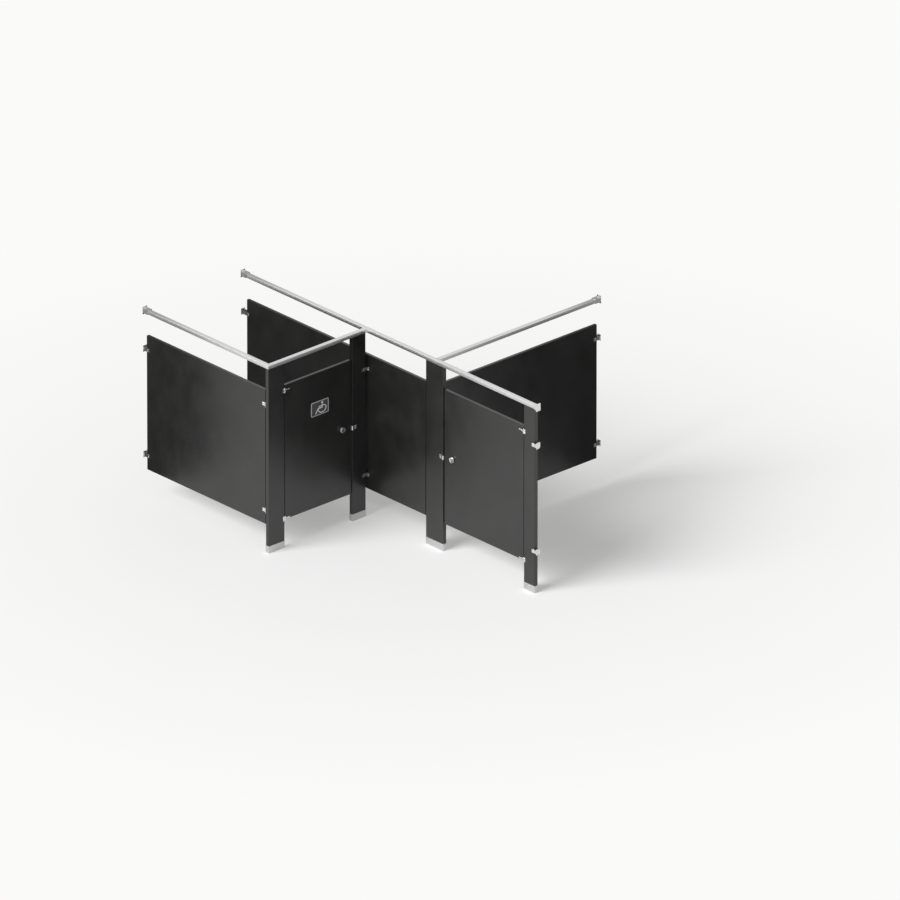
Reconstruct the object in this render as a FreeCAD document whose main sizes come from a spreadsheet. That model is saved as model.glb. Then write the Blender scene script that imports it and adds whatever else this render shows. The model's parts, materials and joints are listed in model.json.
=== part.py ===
import FreeCAD, Part
import functools
import math
import operator
import os
from types import SimpleNamespace

import Sketcher

# A toilet partition: floor-standing, overhead-braced panels that make a wide accessible compartment, a
# standard one and a closed corner bay, with a door on each of the first two.
# Millimetres, +Z up. The main line runs along X from one wall to the other, the left panel runs beside it,
# and the front line and the divider run along Y. The origin is the middle of the footprint, on the floor.

SIZES = {
    # plan, from the wall that the left panel and the main line start at, and from the main line's middle
    "line_length": 4374,
    "front_x": 1841,
    "divider_x": 2869,
    "stall_width": 1320,
    "corner_depth": 2207,
    # gaps between slabs, pilasters and walls
    "wall_gap": 45,
    "inner_gap": 78,
    "end_gap": 30,
    "joint_gap": 12,
    "inline_gap": 14,
    "corner_gap": 18,
    "seam_gap": 3,
    "hinge_gap": 12,
    "latch_gap": 14,
    # slabs
    "floor_gap": 305,
    "panel_height": 1473,
    "panel_thickness": 32,
    "pilaster_thickness": 42,
    "pilaster_foot": 38,
    "corner_pilaster_width": 212,
    "latch_pilaster_width": 180,
    "divider_pilaster_width": 254,
    "end_pilaster_width": 157,
    "slab_edge": 2,
    # shoes and levelling
    "shoe_height": 76,
    "shoe_wall": 1.5,
    "shoe_fit": 0.5,
    "shoe_screw_height": 57,
    "level_plate": 5,
    "level_inset": 10,
    "level_side": 3,
    "stud_radius": 5,
    "stud_fit": 0.3,
    "stud_inset": 48,
    "stud_reach": 32,
    "nut_radius": 9.8,
    "nut_height": 8,
    "nut_fit": 0.05,
    "anchor_inset": 24,
    "anchor_hole": 4.5,
    # head rails and their wall sockets
    "rail_bottom": 2020,
    "rail_height": 38,
    "rail_wall": 3,
    "rail_fit": 1,
    "socket_length": 75,
    "end_socket_gap": 4,
    "socket_wall": 4,
    "socket_fit": 0.3,
    "socket_flange": 4,
    "socket_ear": 17,
    "socket_hole": 3,
    "clip_leg": 36,
    "clip_height": 30,
    "clip_plate": 3,
    # brackets
    "bracket_low": 458,
    "bracket_high": 1620,
    "bracket_plate": 4,
    "bracket_height": 38,
    "bracket_base_height": 66,
    "bracket_grip": 40,
    "angle_grip": 54,
    "angle_edge": 9,
    "bracket_hole": 3.3,
    "bolt_spacing": 20,
    # fasteners
    "bolt_radius": 3,
    "bolt_head_radius": 6,
    "bolt_head_height": 3,
    "screw_radius": 2.5,
    "screw_head_radius": 4.6,
    "screw_head_height": 2.4,
    "screw_bite": 14,
    "drive_radius": 2,
    "drive_depth": 1.4,
    "hole_fit": 0.3,
    # hinges
    "hinge_low": 318,
    "hinge_high": 1723,
    "hinge_stand": 2,
    "barrel_radius": 6,
    "pin_radius": 3,
    "pin_fit": 0.05,
    "pin_head_radius": 4.6,
    "pin_head_height": 2.5,
    "knuckle_height": 16,
    "knuckle_gap": 0.3,
    "leaf_height": 50,
    "leaf_width": 22,
    "leaf_plate": 3,
    "leaf_screw_spacing": 28,
    "leaf_clearance": 0.8,
    "strap_length": 68,
    "strap_height": 14,
    "strap_plate": 4,
    "strap_screw_inset": 8,
    "strap_screw_spacing": 30,
    # keepers and latches
    "latch_height": 1032,
    "keeper_height": 44,
    "keeper_grip": 54,
    "keeper_plate": 3,
    "keeper_face": 6,
    "nose_radius": 10,
    "nose_stand": 4,
    "nose_gap": 2,
    "keeper_bolt_inset": 16,
    "tab_reach": 8,
    "bumper_gap": 0.4,
    "bumper_height": 34,
    "bolt_bar_height": 16,
    "bolt_bar_depth": 8,
    "bolt_bar_length": 64,
    "bolt_bar_stand": 2,
    "bolt_bar_fit": 0.5,
    "bolt_travel": 35,
    "nose_inset": 1,
    "loop_start": 2,
    "loop_width": 10,
    "loop_plate": 4,
    "case_gap": 2,
    "case_length": 84,
    "case_height": 44,
    "case_wall": 4,
    "case_screw_inset": 8,
    "thumb_inset": 12,
    "thumb_radius": 5,
    "thumb_stand": 4,
    "thumb_head_radius": 9,
    "thumb_head_height": 9,
    # knobs, sign and coat hooks on the doors
    "knob_rise": 19,
    "knob_inset": 122,
    "knob_radius": 30,
    "knob_neck_radius": 18,
    "knob_neck_height": 5,
    "knob_height": 25,
    "knob_round": 3,
    "sign_level": 1387,
    "sign_shift": 25,
    "sign_width": 235,
    "sign_height": 155,
    "sign_thickness": 4,
    "sign_corner": 14,
    "sign_border": 9,
    "sign_rim": 1.4,
    "symbol_height": 122,
    "symbol_stroke": 13,
    "symbol_limb": 10,
    "symbol_relief": 1,
    "symbol_head": 12,
    "symbol_neck": 4,
    "symbol_back": 31,
    "symbol_seat": 51,
    "symbol_arm": 20,
    "symbol_hand": 16,
    "symbol_knee": 27,
    "symbol_shin": 15,
    "symbol_toe": 65,
    "symbol_sole": 6,
    "symbol_wheel_width": 114,
    "symbol_wheel_height": 88,
    "symbol_gap": 4.5,
    "low_hook_level": 1200,
    "high_hook_level": 1600,
    "hook_base_width": 36,
    "hook_base_height": 58,
    "hook_base_plate": 3,
    "hook_screw_inset": 7,
    "hook_arm_radius": 5,
    "hook_arm_reach": 60,
    "hook_cap_radius": 9,
    "hook_cap_height": 8,
    "hook_prong_reach": 36,
    "hook_tip_radius": 6,
    "hook_prong_rise": 22,
}

# Cutting tools run this far past the faces that they cut.
OVERCUT = 1

OPERATIONS = {"+": operator.add, "-": operator.sub, "*": operator.mul, "/": operator.truediv}


class Size:
    """A length with its formula in the sheet's words and its value today."""

    def __init__(self, formula, value):
        self.formula = formula
        self.value = value

    def __add__(self, other):
        return combine(self, "+", other)

    def __radd__(self, other):
        return combine(other, "+", self)

    def __sub__(self, other):
        return combine(self, "-", other)

    def __rsub__(self, other):
        return combine(other, "-", self)

    def __mul__(self, other):
        return combine(self, "*", other)

    def __rmul__(self, other):
        return combine(other, "*", self)

    def __truediv__(self, other):
        return combine(self, "/", other)

    def __neg__(self):
        return combine(0, "-", self)


def as_size(length):
    """A plain number as a size, and a size as it is."""
    if isinstance(length, Size):
        return length
    return Size("({})".format(length), length)


def combine(left, sign, right):
    """Join two lengths, formula and value alike."""
    left = as_size(left)
    right = as_size(right)
    formula = "({} {} {})".format(left.formula, sign, right.formula)
    return Size(formula, OPERATIONS[sign](left.value, right.value))


S = SimpleNamespace(**{word: Size("Sizes." + word, value) for word, value in SIZES.items()})

# Half thicknesses, heights and widths that several pieces share.
PANEL_HALF = S.panel_thickness / 2
PILASTER_HALF = S.pilaster_thickness / 2
PANEL_SPAN = (S.floor_gap, S.floor_gap + S.panel_height)
RAIL_WIDTH = S.pilaster_thickness + 2 * (S.rail_fit + S.rail_wall)
RAIL_TOP = S.rail_bottom + S.rail_height
RAIL_MIDDLE = S.rail_bottom + S.rail_height / 2
PILASTER_SPAN = (S.pilaster_foot, RAIL_TOP - S.rail_wall)
SOCKET_WIDTH = RAIL_WIDTH + 2 * (S.socket_fit + S.socket_wall)
SOCKET_HEIGHT = S.rail_height + 2 * (S.socket_fit + S.socket_wall)
ORIGIN_X = S.line_length / 2
ORIGIN_Y = (S.corner_depth - S.stall_width - SOCKET_WIDTH / 2) / 2
BRACKET_LEVELS = (S.bracket_low, S.bracket_high)
HINGE_LEVELS = (S.hinge_low, S.hinge_high)
HINGE_OUT = PILASTER_HALF + S.hinge_stand
KEEPER_BACK = -PILASTER_HALF - S.keeper_plate
BAR_OUT = KEEPER_BACK - S.bolt_bar_stand - S.bolt_bar_depth / 2
BAR_BACK = BAR_OUT - S.bolt_bar_depth / 2
CASE_FRONT = -S.latch_gap - S.tab_reach - S.case_gap
CASE_BACK = BAR_BACK - S.bolt_bar_fit - S.case_wall
THUMB_SPOT = CASE_FRONT - S.nose_inset - S.bolt_bar_length + S.thumb_inset

DOC = FreeCAD.newDocument("toilet_partition")
PARTS = []


def make_sheet():
    """Write every driving size into the sheet, one row each, under its own word."""
    sheet = DOC.addObject("Spreadsheet::Sheet", "Sizes")
    for row, (word, value) in enumerate(SIZES.items(), start=1):
        sheet.set("A{}".format(row), word)
        sheet.set("B{}".format(row), str(value))
        sheet.setAlias("B{}".format(row), word)
    DOC.recompute()


def bind(thing, path, length):
    """Tie one property to a length's formula."""
    thing.setExpression(path, as_size(length).formula)


def place(thing, x, y, z):
    """Tie an object's place to plan lengths, which count from the first wall and the main line."""
    bind(thing, "Placement.Base.x", x - ORIGIN_X)
    bind(thing, "Placement.Base.y", y - ORIGIN_Y)
    bind(thing, "Placement.Base.z", z)


def box(x, y, z):
    """A block between two places along each axis."""
    block = DOC.addObject("Part::Box", "block")
    for side, (low, high) in (("Length", x), ("Width", y), ("Height", z)):
        bind(block, side, high - low)
    place(block, x[0], y[0], z[0])
    return block


def turned(direction):
    """The turn that lays an upright thing along a direction."""
    return FreeCAD.Rotation(FreeCAD.Vector(0, 0, 1), FreeCAD.Vector(*direction))


def joined(things):
    """Fuse solids that touch or overlap into one."""
    fusion = DOC.addObject("Part::MultiFuse", "fusion")
    fusion.Shapes = things
    fusion.Refine = True
    return fusion


def bundle(things):
    """Keep separate solids together as one object."""
    pack = DOC.addObject("Part::Compound", "bundle")
    pack.Links = things
    return pack


def drilled(base, tools):
    """Cut one or more tools from a solid."""
    cut = DOC.addObject("Part::Cut", "cut")
    cut.Base = base
    cut.Tool = bundle(tools)
    return cut


def finish(label, thing):
    """Name an object as one of the part's pieces."""
    thing.Label = label
    PARTS.append(thing)
    return thing


class Line:
    """One straight run of the partition, along X or Y, with its middle plane across the other axis."""

    def __init__(self, axis, middle):
        self.axis = axis
        self.middle = as_size(middle)
        self.along = (1, 0, 0) if axis == "x" else (0, 1, 0)
        self.outward = (0, -1, 0) if axis == "x" else (1, 0, 0)

    def plan(self, along, out):
        """Plan place of a spot that lies so far along the line and so far out from its middle."""
        if self.axis == "x":
            return along, self.middle - out
        return self.middle + out, along


class Station:
    """A place on a line: d runs from its base, forwards or backwards, and out runs from the line's middle."""

    def __init__(self, line, base, sign):
        self.line = line
        self.base = as_size(base)
        self.sign = sign
        self.forward = tuple(sign * part for part in line.along)

    def spot(self, d, out, z):
        """Plan place and height of one spot."""
        along = self.base + d if self.sign > 0 else self.base - d
        x, y = self.line.plan(along, as_size(out))
        return x, y, as_size(z)

    def point(self, d, out, z):
        """One spot in the part's own frame, as numbers."""
        x, y, height = self.spot(d, out, z)
        return FreeCAD.Vector((x - ORIGIN_X).value, (y - ORIGIN_Y).value, height.value)

    def box(self, d, out, z):
        """A block between two places each way."""
        first = self.spot(d[0], out[0], z[0])
        last = self.spot(d[1], out[1], z[1])
        pairs = [(a, b) if a.value <= b.value else (b, a) for a, b in zip(first, last)]
        return box(*pairs)

    def rod(self, d, out, z, radius):
        """A round bar along whichever of d, out and z is given as a pair."""
        ways = ((d, self.forward), (out, self.line.outward), (z, (0, 0, 1)))
        pair, direction = next((value, way) for value, way in ways if isinstance(value, tuple))
        start = [value[0] if isinstance(value, tuple) else value for value in (d, out, z)]
        bar = DOC.addObject("Part::Cylinder", "bar")
        bar.Placement.Rotation = turned(direction)
        bind(bar, "Radius", radius)
        bind(bar, "Height", pair[1] - pair[0])
        place(bar, *self.spot(*start))
        return bar


LEFT = Line("x", -S.stall_width)
MAIN = Line("x", 0)
FRONT = Line("y", S.front_x)
DIVIDER = Line("y", S.divider_x)

# Where each slab begins and ends along its line.
CORNER_START = -S.stall_width - PILASTER_HALF
LATCH_END = -PANEL_HALF - S.corner_gap
END_EDGE = S.line_length - S.end_gap
CORNER_PILASTER = (CORNER_START, CORNER_START + S.corner_pilaster_width)
LATCH_PILASTER = (LATCH_END - S.latch_pilaster_width, LATCH_END)
DIVIDER_PILASTER = (S.divider_x - S.divider_pilaster_width / 2, S.divider_x + S.divider_pilaster_width / 2)
END_PILASTER = (END_EDGE - S.end_pilaster_width, END_EDGE)
LEFT_PANEL = (S.wall_gap, S.front_x - PILASTER_HALF - S.joint_gap)
INNER_PANEL = (S.inner_gap, S.front_x - S.seam_gap / 2)
FRONT_PANEL = (S.front_x + S.seam_gap / 2, DIVIDER_PILASTER[0] - S.inline_gap)
DIVIDER_PANEL = (PILASTER_HALF + S.joint_gap, S.corner_depth - S.wall_gap)
ACCESSIBLE_DOOR = (CORNER_PILASTER[1] + S.hinge_gap, LATCH_PILASTER[0] - S.latch_gap)
STANDARD_DOOR = (DIVIDER_PILASTER[1] + S.latch_gap, END_PILASTER[0] - S.hinge_gap)

PILASTERS = {
    "corner": (FRONT, CORNER_PILASTER),
    "latch": (FRONT, LATCH_PILASTER),
    "divider": (MAIN, DIVIDER_PILASTER),
    "end": (MAIN, END_PILASTER),
}


# Sketched solids

def plane_of(body, role):
    """One of a body's own origin planes."""
    return next(plane for plane in body.Origin.OriginFeatures if plane.Role == role)


def outline(body, plane, points):
    """A closed sketch of straight lines whose corners are tied to lengths from the body's origin."""
    sketch = body.newObject("Sketcher::SketchObject", "outline")
    sketch.AttachmentSupport = [(plane_of(body, plane), "")]
    sketch.MapMode = "FlatFace"
    corners = [FreeCAD.Vector(as_size(x).value, as_size(y).value, 0) for x, y in points]
    count = len(points)
    for index in range(count):
        sketch.addGeometry(Part.LineSegment(corners[index], corners[(index + 1) % count]))
    for index in range(count):
        sketch.addConstraint(Sketcher.Constraint("Coincident", index, 2, (index + 1) % count, 1))
    for index, (x, y) in enumerate(points):
        for way, axis, length in (("DistanceX", -2, as_size(x)), ("DistanceY", -1, as_size(y))):
            if length.value == 0:
                sketch.addConstraint(Sketcher.Constraint("PointOnObject", index, 1, axis))
                continue
            row = sketch.addConstraint(Sketcher.Constraint(way, -1, 1, index, 1, length.value))
            bind(sketch, "Constraints[{}]".format(row), length)
    return sketch


def rectangle(width, height):
    """Corners of a rectangle that starts at the origin."""
    return [(0, 0), (width, 0), (width, height), (0, height)]


def padded(body, sketch, length):
    """Raise a sketch into a solid."""
    pad = body.newObject("PartDesign::Pad", "pad")
    pad.Profile = sketch
    bind(pad, "Length", length)
    DOC.recompute([sketch, pad])
    return pad


def hollowed(body, sketch, depth):
    """Sink a sketch into the solid that stands on the sketch's plane."""
    before = body.Tip.Shape.Volume
    pocket = body.newObject("PartDesign::Pocket", "pocket")
    pocket.Profile = sketch
    pocket.Reversed = True
    bind(pocket, "Length", depth)
    DOC.recompute([sketch, pocket])
    if pocket.Shape.Volume >= before:
        raise RuntimeError("a pocket in {} cuts nothing".format(body.Name))
    return pocket


def softened(body, feature, radius, wanted):
    """Round the edges of a feature that a test picks."""
    fillet = body.newObject("PartDesign::Fillet", "softening")
    edges = enumerate(feature.Shape.Edges, start=1)
    fillet.Base = (feature, ["Edge{}".format(number) for number, edge in edges if wanted(edge)])
    bind(fillet, "Radius", radius)
    return fillet


def every_edge(edge):
    """Pick each edge."""
    return True


def slab(name, station, d, half, z):
    """A flat board along a line, drawn in plan, with all its edges softened."""
    low = station.spot(d[0], half, z[0])
    high = station.spot(d[1], -half, z[0])
    pairs = [(a, b) if a.value <= b.value else (b, a) for a, b in zip(low[:2], high[:2])]
    body = DOC.addObject("PartDesign::Body", name)
    lengths = [last - first for first, last in pairs]
    pad = padded(body, outline(body, "XY_Plane", rectangle(*lengths)), z[1] - z[0])
    softened(body, pad, S.slab_edge, every_edge)
    place(body, pairs[0][0], pairs[1][0], z[0])
    return body


# Fasteners

def headed(radius, height):
    """A low head with a bevelled rim and a six-sided drive recess, seated at height zero."""
    bevel = height / 3
    profile = [(0, 0), (radius, 0), (radius, height - bevel), (radius - bevel, height), (0, height), (0, 0)]
    face = Part.Face(Part.makePolygon([FreeCAD.Vector(x, 0, z) for x, z in profile]))
    head = face.revolve(FreeCAD.Vector(), FreeCAD.Vector(0, 0, 1), 360)
    corners = []
    for turn in range(7):
        angle = math.radians(60 * turn)
        corners.append(FreeCAD.Vector(math.cos(angle), math.sin(angle), 0) * S.drive_radius.value)
    recess = Part.Face(Part.makePolygon(corners)).extrude(FreeCAD.Vector(0, 0, height))
    recess.translate(FreeCAD.Vector(0, 0, height - S.drive_depth.value))
    return head.cut(recess)


@functools.lru_cache(maxsize=None)
def screw(length):
    """A screw whose head stands above height zero and whose shank goes down from it."""
    head = headed(S.screw_head_radius.value, S.screw_head_height.value)
    down = FreeCAD.Vector(0, 0, -1)
    return head.fuse(Part.makeCylinder(S.screw_radius.value, length, FreeCAD.Vector(), down))


@functools.lru_cache(maxsize=None)
def through_bolt(grip):
    """A bolt and its barrel nut, a head at each end of the grip, middle at height zero."""
    top = headed(S.bolt_head_radius.value, S.bolt_head_height.value)
    bottom = top.copy()
    top.translate(FreeCAD.Vector(0, 0, grip / 2))
    bottom.rotate(FreeCAD.Vector(), FreeCAD.Vector(1, 0, 0), 180)
    bottom.translate(FreeCAD.Vector(0, 0, -grip / 2))
    shank = Part.makeCylinder(S.bolt_radius.value, grip, FreeCAD.Vector(0, 0, -grip / 2))
    return shank.fuse([top, bottom])


class Fasteners:
    """A group of like fasteners that is filled as the pieces are made."""

    def __init__(self):
        self.solids = []

    def add(self, solid, point, direction):
        """Seat one fastener at a point, pointing a way."""
        seated = solid.copy()
        seated.Placement = FreeCAD.Placement(point, turned(direction))
        self.solids.append(seated)

    def finish(self, label):
        """Make the group a piece."""
        thing = DOC.addObject("Part::Feature", label)
        thing.Shape = Part.makeCompound(self.solids)
        finish(label, thing)


BRACKET_BOLTS = Fasteners()
BRACKET_SCREWS = Fasteners()
RAIL_SCREWS = Fasteners()
SHOE_SCREWS = Fasteners()
LEAF_SCREWS = Fasteners()
KEEPER_BOLTS = Fasteners()

BOLT_HOLE = S.bolt_radius + S.hole_fit
SCREW_HOLE = S.screw_radius + S.hole_fit


def screw_in(group, station, spot, way, sign, through):
    """Seat a screw's head on a face at a spot, facing one way, and give back the hole that it needs."""
    d, out, z = spot
    length = as_size(through) + S.screw_bite
    arrow = station.forward if way == "d" else station.line.outward
    group.add(screw(length.value), station.point(d, out, z), tuple(sign * part for part in arrow))
    face = d if way == "d" else out
    ends = (face - sign * (length + OVERCUT), face + sign * OVERCUT)
    pair = ends if sign > 0 else ends[::-1]
    if way == "d":
        return station.rod(pair, out, z, SCREW_HOLE)
    return station.rod(d, pair, z, SCREW_HOLE)


def bolt_through(group, station, spot, way, grip):
    """Put a through bolt with its middle at a spot, and give back the hole that it needs."""
    d, out, z = spot
    arrow = station.forward if way == "d" else station.line.outward
    group.add(through_bolt(as_size(grip).value), station.point(d, out, z), arrow)
    reach = as_size(grip) / 2 + OVERCUT
    if way == "d":
        return station.rod((d - reach, d + reach), out, z, BOLT_HOLE)
    return station.rod(d, (out - reach, out + reach), z, BOLT_HOLE)


# Brackets

def u_brackets(label, station, gap, half, base_width, screwed):
    """The two U brackets of one joint: a base on the wall or pilaster, two cheeks on the slab's faces.

    Gives back the bolt holes for the slab and the screw holes for what the bases sit on.
    """
    plate = S.bracket_plate
    grip = gap + S.bracket_grip
    solids = []
    slab_holes = []
    base_holes = []
    for level in BRACKET_LEVELS:
        rise = (level - S.bracket_height / 2, level + S.bracket_height / 2)
        tall = (level - S.bracket_base_height / 2, level + S.bracket_base_height / 2)
        shapes = [
            station.box((0, plate), (-base_width / 2, base_width / 2), tall),
            station.box((0, grip), (half, half + plate), rise),
            station.box((0, grip), (-half - plate, -half), rise),
            station.box((gap - plate, gap), (-half, half), rise),
        ]
        ear = (S.bracket_base_height + S.bracket_height) / 4
        bolts = []
        bases = []
        for side in (-1, 1):
            bolt_spot = (gap + S.bracket_grip / 2, 0, level + side * S.bolt_spacing / 2)
            bolts.append(bolt_through(BRACKET_BOLTS, station, bolt_spot, "out", 2 * (half + plate)))
            ear_spot = (plate, 0, level + side * ear)
            if screwed:
                bases.append(screw_in(BRACKET_SCREWS, station, ear_spot, "d", 1, plate))
            else:
                reach = (as_size(-OVERCUT), plate + OVERCUT)
                bases.append(station.rod(reach, 0, level + side * ear, S.bracket_hole))
        solids.append(drilled(joined(shapes), bolts + bases))
        slab_holes += bolts
        base_holes += bases
    finish(label, bundle(solids))
    return slab_holes, base_holes


def rear_angles(label, station, gap):
    """The two angles of a flush joint, behind the panel, so that nothing shows at the front.

    Gives back the screw holes for the panel and for the pilaster.
    """
    plate = S.bracket_plate
    grip = gap + S.bracket_grip
    back = -PANEL_HALF - plate
    ear = (S.bracket_base_height + S.bracket_height) / 4
    solids = []
    panel_holes = []
    pilaster_holes = []
    for level in BRACKET_LEVELS:
        rise = (level - S.bracket_height / 2, level + S.bracket_height / 2)
        tall = (level - S.bracket_base_height / 2, level + S.bracket_base_height / 2)
        shapes = [
            station.box((0, plate), (-PILASTER_HALF, as_size(0)), tall),
            station.box((0, grip), (back, -PANEL_HALF), rise),
        ]
        drills = []
        for side in (-1, 1):
            panel_spot = (gap + S.bracket_grip / 2, back, level + side * S.bolt_spacing / 2)
            drills.append(screw_in(BRACKET_SCREWS, station, panel_spot, "out", -1, plate))
        bases = []
        for side in (-1, 1):
            ear_spot = (plate, -PILASTER_HALF / 2, level + side * ear)
            bases.append(screw_in(BRACKET_SCREWS, station, ear_spot, "d", 1, plate))
        solids.append(drilled(joined(shapes), drills + bases))
        panel_holes += drills
        pilaster_holes += bases
    finish(label, bundle(solids))
    return panel_holes, pilaster_holes


def corner_angles():
    """Angles between the latch pilaster and the two panels that it meets, front and rear.

    Gives back the holes for the pilaster, the front panel and the inner panel.
    """
    station = Station(FRONT, -PANEL_HALF, -1)
    plate = S.bracket_plate
    leg = S.corner_gap + S.angle_grip
    pilaster_holes = []
    panel_holes = {1: [], -1: []}
    solids = {1: [], -1: []}
    for level in BRACKET_LEVELS:
        heights = [level + side * S.bolt_spacing / 2 for side in (-1, 1)]
        rise = (heights[0] - S.angle_edge, heights[1] + S.angle_edge)
        shared = []
        for height in heights:
            spot = (S.corner_gap + S.angle_grip / 2, 0, height)
            grip = S.pilaster_thickness + 2 * plate
            shared.append(bolt_through(BRACKET_BOLTS, station, spot, "out", grip))
        pilaster_holes += shared
        for side in (1, -1):
            face = side * PILASTER_HALF
            shapes = [
                station.box((0, leg), (face, face + side * plate), rise),
                station.box((0, plate), (face, face + side * S.bracket_grip), rise),
            ]
            out = face + side * (S.bracket_grip + plate) / 2
            middle = (plate - S.panel_thickness) / 2
            grip = S.panel_thickness + plate
            holes = []
            for height in heights:
                holes.append(bolt_through(BRACKET_BOLTS, station, (middle, out, height), "d", grip))
            panel_holes[side] += holes
            solids[side].append(drilled(joined(shapes), shared + holes))
    finish("corner_angles_front", bundle(solids[1]))
    finish("corner_angles_rear", bundle(solids[-1]))
    return pilaster_holes, panel_holes[1], panel_holes[-1]


# Head rails

def channel(name, outer, inner, x, y):
    """An upside-down channel from its plan outline and the plan outline of its hollow."""
    body = DOC.addObject("PartDesign::Body", name)
    padded(body, outline(body, "XY_Plane", outer), S.rail_height)
    hollowed(body, outline(body, "XY_Plane", inner), S.rail_height - S.rail_wall)
    place(body, x, y, S.rail_bottom)
    return body


def straight_channel(name, line, start, end):
    """A channel with square ends along a line."""
    half = RAIL_WIDTH / 2
    wall = S.rail_wall
    long = end - start
    if line.axis == "x":
        outer = [(0, 0), (long, 0), (long, RAIL_WIDTH), (0, RAIL_WIDTH)]
        inner = [(0, wall), (long, wall), (long, RAIL_WIDTH - wall), (0, RAIL_WIDTH - wall)]
        return channel(name, outer, inner, start, line.middle - half)
    outer = [(0, 0), (RAIL_WIDTH, 0), (RAIL_WIDTH, long), (0, long)]
    inner = [(wall, 0), (RAIL_WIDTH - wall, 0), (RAIL_WIDTH - wall, long), (wall, long)]
    return channel(name, outer, inner, line.middle - half, start)


def mitred_channels():
    """The left and the front channel, which meet at a mitre over the corner pilaster."""
    half = RAIL_WIDTH / 2
    wall = S.rail_wall
    far = RAIL_WIDTH - wall
    start = as_size(S.socket_flange)
    long = S.front_x + half - start
    outer = [(0, 0), (long, 0), (long - RAIL_WIDTH, RAIL_WIDTH), (0, RAIL_WIDTH)]
    inner = [(0, wall), (long - wall, wall), (long - far, far), (0, far)]
    left = channel("headrail_left_blank", outer, inner, start, -S.stall_width - half)
    long = S.stall_width
    outer = [(RAIL_WIDTH, 0), (RAIL_WIDTH, long), (0, long), (0, RAIL_WIDTH)]
    inner = [(far, wall), (far, long), (wall, long), (wall, far)]
    front = channel("headrail_front_blank", outer, inner, S.front_x - half, -S.stall_width - half)
    return left, front


def rail_socket(label, station, length):
    """A wall socket: a flange with an ear above and below, and a sleeve that holds the rail's end.

    Gives back the hole of its set screw for the rail.
    """
    wide = (-SOCKET_WIDTH / 2, SOCKET_WIDTH / 2)
    tall = (RAIL_MIDDLE - SOCKET_HEIGHT / 2, RAIL_MIDDLE + SOCKET_HEIGHT / 2)
    flange = station.box((0, S.socket_flange), wide, (tall[0] - S.socket_ear, tall[1] + S.socket_ear))
    sleeve = station.box((0, length), wide, tall)
    wall = S.socket_wall
    inside = station.box(
        (S.socket_flange, length + OVERCUT),
        (wide[0] + wall, wide[1] - wall),
        (tall[0] + wall, tall[1] - wall),
    )
    holes = []
    for height in (tall[0] - S.socket_ear / 2, tall[1] + S.socket_ear / 2):
        holes.append(station.rod((as_size(-OVERCUT), S.socket_flange + OVERCUT), 0, height, S.socket_hole))
    spot = ((S.socket_flange + length) / 2, wide[0], RAIL_MIDDLE)
    set_hole = screw_in(RAIL_SCREWS, station, spot, "out", -1, 0)
    finish(label, drilled(joined([flange, sleeve]), [inside, set_hole] + holes))
    return set_hole


def tee_clip(station, side):
    """An angle in the corner between a rail that ends at the main rail and the main rail's side.

    Gives back the clip, the hole for the ending rail and the hole for the main rail.
    """
    half = RAIL_WIDTH / 2
    plate = S.clip_plate
    rise = (RAIL_MIDDLE - S.clip_height / 2, RAIL_MIDDLE + S.clip_height / 2)
    beside = station.box((0, S.clip_leg), (side * half, side * (half + plate)), rise)
    against = station.box((0, plate), (side * half, side * (half + S.clip_leg)), rise)
    reach = (S.clip_leg + plate) / 2
    beside_spot = (reach, side * (half + plate), RAIL_MIDDLE)
    against_spot = (plate, side * (half + reach), RAIL_MIDDLE)
    own = screw_in(RAIL_SCREWS, station, beside_spot, "out", side, 0)
    other = screw_in(RAIL_SCREWS, station, against_spot, "d", 1, 0)
    return drilled(joined([beside, against]), [own, other]), own, other


def pilaster_rail_screws(line, ends):
    """Screws through a rail's sides into the pilaster's head, one each side."""
    station = Station(line, ends[0], 1)
    middle = (ends[1] - ends[0]) / 2
    half = RAIL_WIDTH / 2
    through = S.rail_wall + S.rail_fit
    spots = [(side, (middle, side * half, RAIL_MIDDLE)) for side in (-1, 1)]
    return [screw_in(RAIL_SCREWS, station, spot, "out", side, through) for side, spot in spots]


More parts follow.
